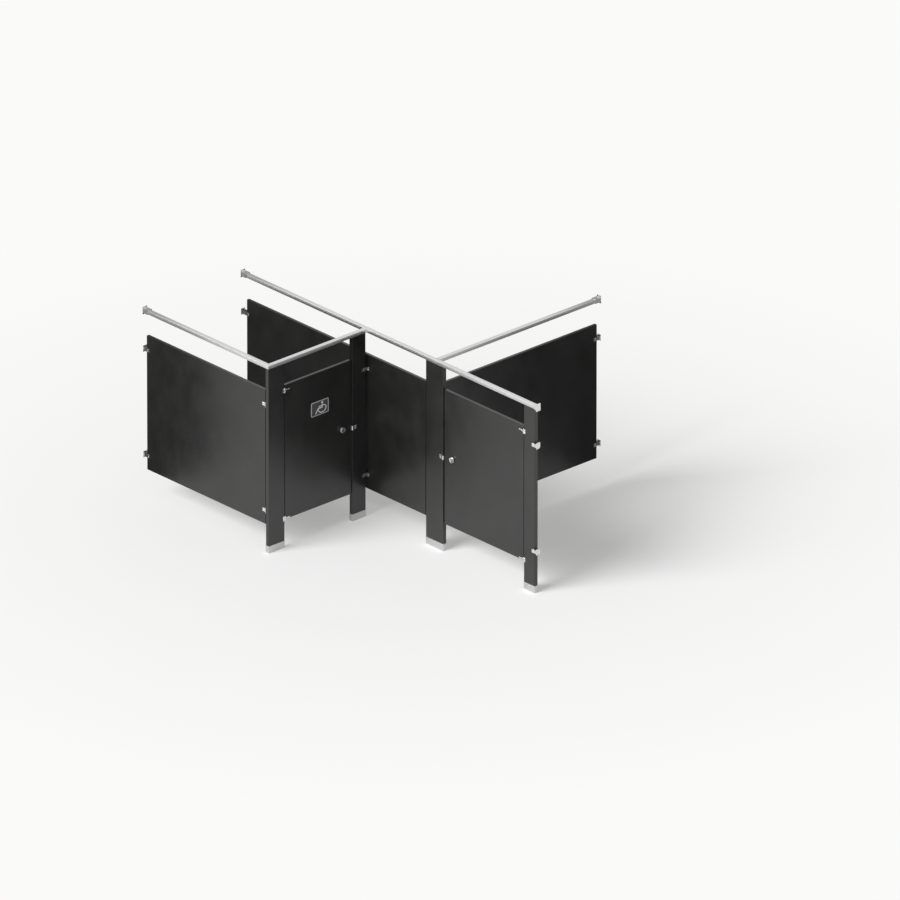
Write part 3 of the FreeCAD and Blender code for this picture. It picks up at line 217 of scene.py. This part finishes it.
PLATE_MARKS = 26.0
PLATE_VARIES = 0.06
PLATE_GRAIN = 900.0
PLATE_BUMP = (0.015 * MM, 0.25)


def plated(name, dark, light, rough):
    """Satin plating, evenly blasted, with handling marks in its gloss."""
    shader = Shader(name)
    marks = shader.noise(PLATE_MARKS, detail=5.0)
    shader.feed(
        shader.surface,
        Base_Color=shader.tint(marks, dark, light),
        Metallic=1.0,
        Roughness=shader.spread(marks, rough - PLATE_VARIES, rough + PLATE_VARIES),
        Normal=shader.bump(shader.noise(PLATE_GRAIN, detail=2.0), *PLATE_BUMP),
    )
    return shader.material


MOULD_MOTTLE = 40.0
MOULD_VARIES = 0.05
MOULD_GRAIN = 1100.0
MOULD_BUMP = (0.04 * MM, 0.4)


def moulded(name, dark, light, rough):
    """Moulded plastic or rubber with a fine grain."""
    shader = Shader(name)
    mottle = shader.noise(MOULD_MOTTLE)
    shader.feed(
        shader.surface,
        Base_Color=shader.tint(mottle, dark, light),
        Roughness=shader.spread(mottle, rough - MOULD_VARIES, rough + MOULD_VARIES),
        Normal=shader.bump(shader.noise(MOULD_GRAIN, detail=2.0), *MOULD_BUMP),
    )
    return shader.material


BLACK = powder_coat()
STEEL_X = brushed("brushed_steel_x", grey(0.53), grey(0.61), 0.44, "x")
STEEL_Y = brushed("brushed_steel_y", grey(0.53), grey(0.61), 0.44, "y")
RAIL_X = brushed("anodised_rail_x", grey(0.66), grey(0.73), 0.34, "x")
RAIL_Y = brushed("anodised_rail_y", grey(0.66), grey(0.73), 0.34, "y")
SATIN = plated("satin_fittings", grey(0.66), grey(0.76), 0.20)
SCREW = plated("screw_steel", grey(0.58), grey(0.70), 0.20)
DIM = plated("dim_plating", grey(0.22), grey(0.28), 0.36)
ZINC = plated("zinc_steel", (0.48, 0.49, 0.50), (0.60, 0.60, 0.58), 0.42)
RUBBER = moulded("black_rubber", grey(0.012), grey(0.020), 0.7)
SIGN_FIELD = moulded("sign_field_grey", grey(0.062), grey(0.078), 0.5)
SIGN_RIM = moulded("sign_rim_grey", grey(0.48), grey(0.54), 0.42)
SIGN_PALE = moulded("sign_pale_grey", grey(0.80), grey(0.86), 0.45)

SLOT_MATERIALS = {
    "black_panel": BLACK,
    "shoe_steel": STEEL_X,
    "rail_metal": RAIL_X,
    "hardware": SATIN,
    "fastener": SCREW,
    "levelling_steel": ZINC,
    "rubber": RUBBER,
    "sign_plate": SIGN_FIELD,
    "sign_symbol": SIGN_PALE,
}


# Finish of the solids that stay

NODE_SLOTS = {subpart["node"]: subpart["material_slot"] for subpart in frame["record"]["subparts"]}
EASED = {"hardware": 0.9 * MM, "rubber": 1.5 * MM, "sign_symbol": 0.3 * MM}
EASE_STEPS = 3
EASE_ANGLE = math.radians(40)
FLAT_ANGLE = math.radians(1)
WELD_REACH = 0.005 * MM
DIM_ANGLES = ("corner_angles_front", "corner_angles_rear")


def dress(node, material):
    """Give a solid one material."""
    slots = frame["nodes"][node].data.materials
    slots.clear()
    slots.append(material)


def soften(node, width):
    """Ease a solid's sharp edges, as dies and tumbling leave them."""
    thing = frame["nodes"][node]
    weld = thing.modifiers.new("weld", "WELD")
    weld.merge_threshold = WELD_REACH
    flat = thing.modifiers.new("flat", "DECIMATE")
    flat.decimate_type = "DISSOLVE"
    flat.angle_limit = FLAT_ANGLE
    ease = thing.modifiers.new("ease", "BEVEL")
    ease.width = width
    ease.segments = EASE_STEPS
    ease.limit_method = "ANGLE"
    ease.angle_limit = EASE_ANGLE
    ease.harden_normals = True


for part_node, part_slot in NODE_SLOTS.items():
    dress(part_node, SLOT_MATERIALS[part_slot])
    if part_slot in EASED:
        soften(part_node, EASED[part_slot])

for angles in DIM_ANGLES:
    dress(angles, DIM)


# Nets

SHARP_ANGLE = math.radians(32)


def arc(centre, radius, start, end, steps):
    """Places along an arc in a plane, between two angles in degrees."""
    places = []
    for step in range(steps + 1):
        turn = math.radians(start + (end - start) * step / steps)
        places.append((centre[0] + radius * math.cos(turn), centre[1] + radius * math.sin(turn)))
    return places


def round_rectangle(low, high, corner, steps=5):
    """Places round a rectangle with round corners, from its two far corners."""
    places = []
    for turn, (x, y) in enumerate(((1, 1), (0, 1), (0, 0), (1, 0))):
        middle = (
            high[0] - corner if x else low[0] + corner,
            high[1] - corner if y else low[1] + corner,
        )
        places += arc(middle, corner, 90 * turn, 90 * turn + 90, steps)
    return places


def skin(net, rings, loop=False, material=0):
    """Stretch faces over rings of points, and close the ends or join the last ring to the first.

    Gives back the faces. Where the ends are closed, those two come first.
    """
    rows = [[net.verts.new(point) for point in ring] for ring in rings]
    pairs = list(zip(rows, rows[1:]))
    if loop:
        pairs.append((rows[-1], rows[0]))
    faces = [] if loop else [net.faces.new(rows[0]), net.faces.new(rows[-1])]
    for one, two in pairs:
        for index in range(len(one)):
            after = (index + 1) % len(one)
            faces.append(net.faces.new((one[index], one[after], two[after], two[index])))
    for face in faces:
        face.material_index = material
    return faces


def make_piece(name, net, body, node, materials):
    """Turn a net into a piece that rides on a body and stands for a solid."""
    bmesh.ops.recalc_face_normals(net, faces=net.faces)
    mesh = bpy.data.meshes.new(name)
    net.to_mesh(mesh)
    net.free()
    mesh.shade_smooth()
    mesh.set_sharp_from_angle(angle=SHARP_ANGLE)
    for material in materials:
        mesh.materials.append(material)
    piece = bpy.data.objects.new(name, mesh)
    scene.collection.objects.link(piece)
    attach(piece, body)
    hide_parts(node)


# Head rails: extrusions with a proud lip along the foot of each side and a crowned top

RAIL_WALL = 3 * MM
RAIL_LIP = 24 * MM
RAIL_STEP = 1.4 * MM
RAIL_CORNER = 5 * MM
RAIL_CORNER_END = 85
RAIL_CORNER_STEPS = 6
RAIL_CROWN = 0.8 * MM
RAIL_EASE = 0.6 * MM


def rail_section(half, height):
    """The rail's section round its outside and back round its hollow, as places across and up."""
    shoulder = half - RAIL_STEP
    side = [
        (half - RAIL_EASE, 0.0),
        (half, RAIL_EASE),
        (half, RAIL_LIP - RAIL_EASE),
        (half - RAIL_EASE, RAIL_LIP),
        (shoulder, RAIL_LIP),
    ]
    middle = (shoulder - RAIL_CORNER, height - RAIL_CROWN - RAIL_CORNER)
    side += arc(middle, RAIL_CORNER, 0, RAIL_CORNER_END, RAIL_CORNER_STEPS)
    mirrored = [(-across, up) for across, up in reversed(side)]
    inner = half - RAIL_WALL
    roof = height - RAIL_WALL
    hollow = [(-inner, 0.0), (-inner, roof), (inner, roof), (inner, 0.0)]
    return side + [(0.0, height)] + mirrored + hollow


def head_rail(key, axis, material, start_mitre=0, end_mitre=0):
    """One rail along X or Y. A mitre says how far its end goes on for each step across."""
    node = "headrail_" + key
    low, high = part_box(node)
    along = "xy".index(axis)
    over = 1 - along
    half = (high[over] - low[over]) / 2
    middle = (high[over] + low[over]) / 2
    start = low[along] + half * abs(start_mitre)
    end = high[along] - half * abs(end_mitre)
    rings = []
    for reach, mitre in ((start, start_mitre), (end, end_mitre)):
        ring = []
        for across, up in rail_section(half, high.z - low.z):
            point = Vector((0, 0, low.z + up))
            point[along] = reach + mitre * across
            point[over] = middle + across
            ring.append(point)
        rings.append(ring)
    net = bmesh.new()
    skin(net, rings)
    make_piece("rail_" + key, net, "frame", node, [material])


head_rail("left", "x", RAIL_X, end_mitre=-1)
head_rail("front", "y", RAIL_Y, start_mitre=-1)
head_rail("main", "x", RAIL_X)
head_rail("divider", "y", RAIL_Y)


# Shoes: folded sleeves with round corners and a hem along the top

SHOE_WALL = 1.5 * MM
SHOE_CORNER = 2.6 * MM
SHOE_EASE = 0.5 * MM
HEM_DEPTH = 7 * MM
HEM_GROOVE = 0.4 * MM


def pilaster_shoe(key, material):
    """One shoe, skinned up its outside, over its hem and down its inside."""
    node = "shoe_" + key
    low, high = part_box(node)
    hem = high.z - HEM_DEPTH
    levels = [
        (SHOE_EASE, low.z),
        (0.0, low.z + SHOE_EASE),
        (0.0, hem - SHOE_EASE),
        (HEM_GROOVE, hem),
        (0.0, hem + SHOE_EASE),
        (0.0, high.z - SHOE_EASE),
        (SHOE_EASE, high.z),
        (SHOE_WALL - SHOE_EASE, high.z),
        (SHOE_WALL, high.z - SHOE_EASE),
        (SHOE_WALL, low.z),
    ]
    rings = []
    for inset, level in levels:
        inner_low = (low.x + inset, low.y + inset)
        inner_high = (high.x - inset, high.y - inset)
        outline = round_rectangle(inner_low, inner_high, SHOE_CORNER - inset)
        rings.append([Vector((x, y, level)) for x, y in outline])
    net = bmesh.new()
    skin(net, rings, loop=True)
    make_piece("sleeve_" + key, net, "frame", node, [material])


pilaster_shoe("corner", STEEL_Y)
pilaster_shoe("latch", STEEL_Y)
pilaster_shoe("divider", STEEL_X)
pilaster_shoe("end", STEEL_X)


# Door fittings

def turned_rings(origin, outward, profile, steps=56):
    """Rings of a turned shape from places out from its axis and along it."""
    side = UP.cross(outward)
    rings = []
    for radius, reach in profile:
        ring = []
        for step in range(steps):
            turn = 2 * math.pi * step / steps
            spoke = side * math.cos(turn) + UP * math.sin(turn)
            ring.append(origin + outward * reach + spoke * radius)
        rings.append(ring)
    return rings


def face_frame(node, outward):
    """Middle of a fitting's seat on the door's face, half its height and how far it stands out."""
    low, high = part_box(node)
    middle = (low + high) / 2
    axis = 0 if outward.x else 1
    depth = high[axis] - low[axis]
    seat = middle - outward * depth / 2
    return seat, (high.z - low.z) / 2, depth


# Pulls

KNOB_SEAT = 18 * MM
KNOB_NECK = 13 * MM
KNOB_SEAT_HEIGHT = 2 * MM
KNOB_NECK_HEIGHT = 5.5 * MM
KNOB_EASE = 0.5 * MM
KNOB_ROUND = 3 * MM
KNOB_ROUND_STEPS = 6
KNOB_GROOVE = 0.7 * MM
KNOB_GROOVE_SHIFT = 2 * MM
KNOB_LAND = 2 * MM
KNOB_LIP = 1 * MM
KNOB_DISH = 1.2 * MM


def pull_knob(key, outward):
    """A turned pull: a seat, a waisted neck, a grooved rim and a dished face."""
    node = "door_knob_" + key
    seat, radius, depth = face_frame(node, outward)
    side = (KNOB_NECK_HEIGHT + depth - KNOB_ROUND) / 2
    profile = [
        (KNOB_SEAT - KNOB_EASE, 0.0),
        (KNOB_SEAT, KNOB_EASE),
        (KNOB_SEAT, KNOB_SEAT_HEIGHT - KNOB_EASE),
        (KNOB_SEAT - KNOB_EASE, KNOB_SEAT_HEIGHT),
        (KNOB_NECK, KNOB_SEAT_HEIGHT + KNOB_EASE),
        (KNOB_NECK, KNOB_NECK_HEIGHT - KNOB_EASE),
        (radius - 2 * KNOB_ROUND, KNOB_NECK_HEIGHT),
        (radius - KNOB_EASE, KNOB_NECK_HEIGHT + KNOB_EASE),
        (radius, KNOB_NECK_HEIGHT + 2 * KNOB_EASE),
    ]
    for groove in (side - KNOB_GROOVE_SHIFT, side + KNOB_GROOVE_SHIFT):
        profile += [
            (radius, groove - KNOB_GROOVE),
            (radius - KNOB_GROOVE, groove),
            (radius, groove + KNOB_GROOVE),
        ]
    rim = radius - KNOB_ROUND
    land = rim - KNOB_LAND
    profile += arc((rim, depth - KNOB_ROUND), KNOB_ROUND, 0, 90, KNOB_ROUND_STEPS)
    for reach, sunk in ((land, 0.0), (land - KNOB_LIP, 1 / 3), (rim / 2, 0.8), (rim / 8, 1.0)):
        profile.append((reach, depth - KNOB_DISH * sunk))
    net = bmesh.new()
    skin(net, turned_rings(seat, outward, profile))
    make_piece("pull_" + key, net, "door_" + key, node, [SATIN])


pull_knob("accessible", Vector((1, 0, 0)))
pull_knob("standard", Vector((0, -1, 0)))


# Sign

SIGN_CORNER = 14 * MM
SIGN_BORDER = 9 * MM
SIGN_SINK = 1.4 * MM
SIGN_EASE = 0.5 * MM


def door_sign():
    """The sign's plate: a raised pale rim round a sunk dark field."""
    low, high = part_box("sign_plate")
    levels = [
        (SIGN_EASE, low.x),
        (0.0, low.x + SIGN_EASE),
        (0.0, high.x - SIGN_EASE),
        (SIGN_EASE, high.x),
        (SIGN_BORDER - SIGN_EASE, high.x),
        (SIGN_BORDER, high.x - SIGN_EASE),
        (SIGN_BORDER, high.x - SIGN_SINK),
    ]
    rings = []
    for inset, level in levels:
        inner_low = (low.y + inset, low.z + inset)
        inner_high = (high.y - inset, high.z - inset)
        outline = round_rectangle(inner_low, inner_high, SIGN_CORNER - inset)
        rings.append([Vector((level, y, z)) for y, z in outline])
    net = bmesh.new()
    field = skin(net, rings)[1]
    field.material_index = 1
    make_piece("sign_board", net, "door_accessible", "sign_plate", [SIGN_RIM, SIGN_FIELD])


door_sign()


# Coat hooks. The flare gives how far the arm's foot stands out past the arm, by its height on the plate.

HOOK_STEPS = 28
HOOK_BASE = 3 * MM
HOOK_BASE_CORNER = 8 * MM
HOOK_BASE_EASE = 1 * MM
HOOK_BASE_BREAK = 0.3 * MM
HOOK_ARM = 5 * MM
HOOK_FLARE = ((3 * MM, 0.0), (1 * MM, 1.5 * MM), (0.0, 4 * MM))
HOOK_CAP = 9 * MM
HOOK_CAP_HEIGHT = 8 * MM
HOOK_CAP_EASE = 1 * MM
HOOK_CAP_ROUND = 4 * MM
HOOK_CAP_STEPS = 5
HOOK_PRONG_SINK = 0.5 * MM
HOOK_PRONG_FOOT = 3 * MM
HOOK_PRONG_FLARE = 2 * MM
HOOK_PRONG_REACH = 36 * MM
HOOK_PRONG_RISE = 22 * MM
HOOK_BEND = 11 * MM
HOOK_BEND_START = -75
HOOK_BEND_STEPS = 6
HOOK_TIP = 6 * MM
HOOK_TIP_LIFT = 2 * MM
HOOK_TIP_TURN = (-50, 80)
HOOK_TIP_STEPS = 7


def tube_rings(route, outward, radii, steps=20):
    """Rings of a bent round bar that stays in the upright plane along its outward way."""
    across = UP.cross(outward)
    rings = []
    for index, (point, radius) in enumerate(zip(route, radii)):
        before = route[max(index - 1, 0)]
        after = route[min(index + 1, len(route) - 1)]
        normal = across.cross((after - before).normalized())
        ring = []
        for step in range(steps):
            turn = 2 * math.pi * step / steps
            ring.append(point + (across * math.cos(turn) + normal * math.sin(turn)) * radius)
        rings.append(ring)
    return rings


def hook_base(net, seat, outward, half_width, half_height):
    """The hook's plate, round-cornered, with its face eased back at the edges."""
    side = UP.cross(outward)
    levels = [
        (0.0, 0.0),
        (0.0, HOOK_BASE - HOOK_BASE_EASE),
        (HOOK_BASE_BREAK, HOOK_BASE - HOOK_BASE_BREAK),
        (HOOK_BASE_EASE, HOOK_BASE),
    ]
    rings = []
    for inset, reach in levels:
        wide = half_width - inset
        tall = half_height - inset
        outline = round_rectangle((-wide, -tall), (wide, tall), HOOK_BASE_CORNER - inset)
        middle = seat + outward * reach
        rings.append([middle + side * across + UP * up for across, up in outline])
    skin(net, rings)


def hook_arm(net, seat, outward, depth):
    """The straight arm with a flared foot, and the rubber stop on its end."""
    end = depth - HOOK_CAP_HEIGHT
    shank = [(HOOK_ARM + wide, HOOK_BASE + reach) for wide, reach in HOOK_FLARE]
    shank.append((HOOK_ARM, end))
    skin(net, turned_rings(seat, outward, shank, steps=HOOK_STEPS))
    cap = [(HOOK_CAP - HOOK_CAP_EASE, end), (HOOK_CAP, end + HOOK_CAP_EASE)]
    middle = (HOOK_CAP - HOOK_CAP_ROUND, depth - HOOK_CAP_ROUND)
    cap += arc(middle, HOOK_CAP_ROUND, 0, 90, HOOK_CAP_STEPS)
    skin(net, turned_rings(seat, outward, cap, steps=HOOK_STEPS), material=1)


def hook_prong(net, seat, outward):
    """The prong: out from the plate, bent upwards, with a ball tip."""
    elbow = HOOK_BASE + HOOK_PRONG_REACH - HOOK_BEND
    top = HOOK_PRONG_RISE - HOOK_TIP
    places = [(HOOK_BASE - HOOK_PRONG_SINK, 0.0), (HOOK_BASE + HOOK_PRONG_FOOT, 0.0), (elbow, 0.0)]
    places += arc((elbow, HOOK_BEND), HOOK_BEND, HOOK_BEND_START, 0, HOOK_BEND_STEPS)
    places.append((elbow + HOOK_BEND, top))
    radii = [HOOK_ARM + HOOK_PRONG_FLARE] + [HOOK_ARM] * (len(places) - 1)
    for radius, lift in arc((0.0, 0.0), HOOK_TIP, *HOOK_TIP_TURN, HOOK_TIP_STEPS):
        places.append((elbow + HOOK_BEND, top + HOOK_TIP_LIFT + lift))
        radii.append(radius)
    route = [seat + outward * out + UP * up for out, up in places]
    skin(net, tube_rings(route, outward, radii))


def coat_hook(key, outward):
    """A coat hook: a plate, an arm with a rubber stop above, and a bent prong below."""
    node = "coat_hook_" + key
    seat, half_height, depth = face_frame(node, outward)
    low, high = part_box(node)
    half_width = (high.y - low.y if outward.x else high.x - low.x) / 2
    net = bmesh.new()
    hook_base(net, seat, outward, half_width, half_height)
    hook_arm(net, seat + UP * half_height / 2, outward, depth)
    hook_prong(net, seat - UP * half_height / 2, outward)
    make_piece("hook_" + key, net, "door_" + key, node, [SATIN, RUBBER])


coat_hook("accessible", Vector((-1, 0, 0)))
coat_hook("standard", Vector((0, 1, 0)))


# Stage: a wide pale floor, a broad soft key from the front and above, an even sky, and a glowing grey
# card that only reflections see, which paints shade into the reflections of the black slabs

FLOOR_RADIUS = 60.0
FLOOR_SIDES = 96
FLOOR_SHOWN = (0.96, 0.96, 0.9456, 1)
FLOOR_TONES = (grey(0.885), grey(0.905))
FLOOR_PATCHES = 0.7
FLOOR_ROUGH = 0.75
FLOOR_NEAR = 2.6
FLOOR_FAR = 7.0
FLOOR_LIFT_NEAR = 0.30
SKY_LIGHT = 0.30
SKY_SHOWN = 0.92
KEY_FROM = (-0.14, -0.80, 0.58)
KEY_STRENGTH = 3.6
KEY_SPREAD = math.radians(38)
CARD_DARK = 0.10
CARD_LIGHT = 0.50
CARD_TURN = (1.5, 2.3)
CARD_HEIGHT = 2.5
CARD_GAP = 0.06
CARD_FRONT = 1.0
CARD_SIDE = 1.2


def seen_rays(tree):
    """One for camera, glossy and transmission rays, and nought for the rays that light things."""
    path = tree.nodes.new("ShaderNodeLightPath")
    shown = path.outputs["Is Camera Ray"]
    for kind in ("Is Glossy Ray", "Is Transmission Ray"):
        either = tree.nodes.new("ShaderNodeMath")
        either.operation = "MAXIMUM"
        tree.links.new(shown, either.inputs[0])
        tree.links.new(path.outputs[kind], either.inputs[1])
        shown = either.outputs["Value"]
    return shown


def floor_material():
    """Pale floor that takes shadows near the object and shows as plain backdrop far from it."""
    shader = Shader("pale_floor")
    shader.feed(
        shader.surface,
        Base_Color=shader.tint(shader.noise(FLOOR_PATCHES), *FLOOR_TONES),
        Roughness=FLOOR_ROUGH,
        Specular_IOR_Level=0.0,
    )
    spot = shader.add("ShaderNodeTexCoord")
    away = shader.add("ShaderNodeVectorMath")
    away.operation = "LENGTH"
    shader.tree.links.new(spot.outputs["Object"], away.inputs[0])
    lift = shader.add(
        "ShaderNodeMapRange",
        Value=away.outputs["Value"],
        From_Min=FLOOR_NEAR,
        From_Max=FLOOR_FAR,
        To_Min=FLOOR_LIFT_NEAR,
        To_Max=1.0,
    )
    share = shader.add("ShaderNodeMath")
    share.operation = "MULTIPLY"
    shader.tree.links.new(lift.outputs["Result"], share.inputs[0])
    shader.tree.links.new(seen_rays(shader.tree), share.inputs[1])
    plain = shader.add("ShaderNodeEmission", Color=FLOOR_SHOWN, Strength=1.0)
    mix = shader.add("ShaderNodeMixShader", Fac=share.outputs["Value"])
    shader.tree.links.new(shader.surface.outputs["BSDF"], mix.inputs[1])
    shader.tree.links.new(plain.outputs["Emission"], mix.inputs[2])
    shader.show(mix.outputs["Shader"])
    return shader.material


def make_floor():
    """A disc on the ground."""
    net = bmesh.new()
    bmesh.ops.create_circle(net, cap_ends=True, segments=FLOOR_SIDES, radius=FLOOR_RADIUS)
    mesh = bpy.data.meshes.new("floor")
    net.to_mesh(mesh)
    net.free()
    floor = bpy.data.objects.new("floor", mesh)
    scene.collection.objects.link(floor)
    mesh.materials.append(floor_material())


def make_key():
    """A far lamp with a wide disc, so that shadows are soft and the light is even."""
    lamp = bpy.data.lights.new("key", "SUN")
    lamp.energy = KEY_STRENGTH
    lamp.angle = KEY_SPREAD
    thing = bpy.data.objects.new("key", lamp)
    scene.collection.objects.link(thing)
    thing.rotation_euler = Vector(KEY_FROM).to_track_quat("Z", "Y").to_euler()


def card_material():
    """A glowing grey, darker below and lighter above: painted shade that only reflections show."""
    shader = Shader("glowing_shade_card")
    spot = shader.add("ShaderNodeTexCoord")
    height = shader.add("ShaderNodeSeparateXYZ", Vector=spot.outputs["Object"])
    level = shader.add(
        "ShaderNodeMapRange",
        Value=height.outputs["Z"],
        From_Min=CARD_TURN[0],
        From_Max=CARD_TURN[1],
        To_Min=CARD_DARK,
        To_Max=CARD_LIGHT,
    )
    tone = shader.add("ShaderNodeEmission", Strength=level.outputs["Result"])
    shader.show(tone.outputs["Emission"])
    return shader.material


def make_card():
    """A folded card past the left end and behind, which only reflections see: a glowing sheet that
    paints shade into the slabs' reflections.
    """
    net = bmesh.new()
    low, high = CAD_BOX
    left = low[0] - CARD_GAP
    back = high[1] + CARD_GAP
    route = ((left, low[1] - CARD_FRONT), (left, back), (high[0] + CARD_SIDE, back))
    for start, end in zip(route, route[1:]):
        corners = ((*start, 0), (*end, 0), (*end, CARD_HEIGHT), (*start, CARD_HEIGHT))
        net.faces.new([net.verts.new(corner) for corner in corners])
    mesh = bpy.data.meshes.new("card")
    net.to_mesh(mesh)
    net.free()
    mesh.materials.append(card_material())
    card = bpy.data.objects.new("card", mesh)
    scene.collection.objects.link(card)
    card.visible_camera = False
    card.visible_diffuse = False
    card.visible_shadow = False


def make_sky():
    """An even pale sky that gives less light than it shows."""
    world = bpy.data.worlds.new("sky")
    scene.world = world
    world.use_nodes = True
    tree = world.node_tree
    level = tree.nodes.new("ShaderNodeMapRange")
    level.inputs["To Min"].default_value = SKY_LIGHT
    level.inputs["To Max"].default_value = SKY_SHOWN
    tree.links.new(seen_rays(tree), level.inputs["Value"])
    back = tree.nodes["Background"]
    back.inputs["Color"].default_value = (1, 1, 1, 1)
    tree.links.new(level.outputs["Result"], back.inputs["Strength"])


make_floor()
make_key()
make_card()
make_sky()


# Camera: a very long lens, because the view has next to no perspective

CAMERA_AZIMUTH = math.radians(47.56)
CAMERA_ELEVATION = math.radians(24.76)
CAMERA_AIM = Vector((-0.925, 1.228, 0.0))
FRAME_WIDTH = 9.036
LENS = 1400.0
SENSOR = 36.0


def make_camera():
    """Camera at the photographed angle, far enough back for its lens to take in the frame."""
    lens = bpy.data.cameras.new("camera")
    lens.sensor_width = SENSOR
    lens.lens = LENS
    distance = FRAME_WIDTH * LENS / SENSOR
    lens.clip_start = distance / 2
    lens.clip_end = distance * 2
    back = Vector((
        math.sin(CAMERA_AZIMUTH) * math.cos(CAMERA_ELEVATION),
        -math.cos(CAMERA_AZIMUTH) * math.cos(CAMERA_ELEVATION),
        math.sin(CAMERA_ELEVATION),
    ))
    camera = bpy.data.objects.new("camera", lens)
    scene.collection.objects.link(camera)
    camera.location = CAMERA_AIM + back * distance
    camera.rotation_euler = back.to_track_quat("Z", "Y").to_euler()
    scene.camera = camera


make_camera()
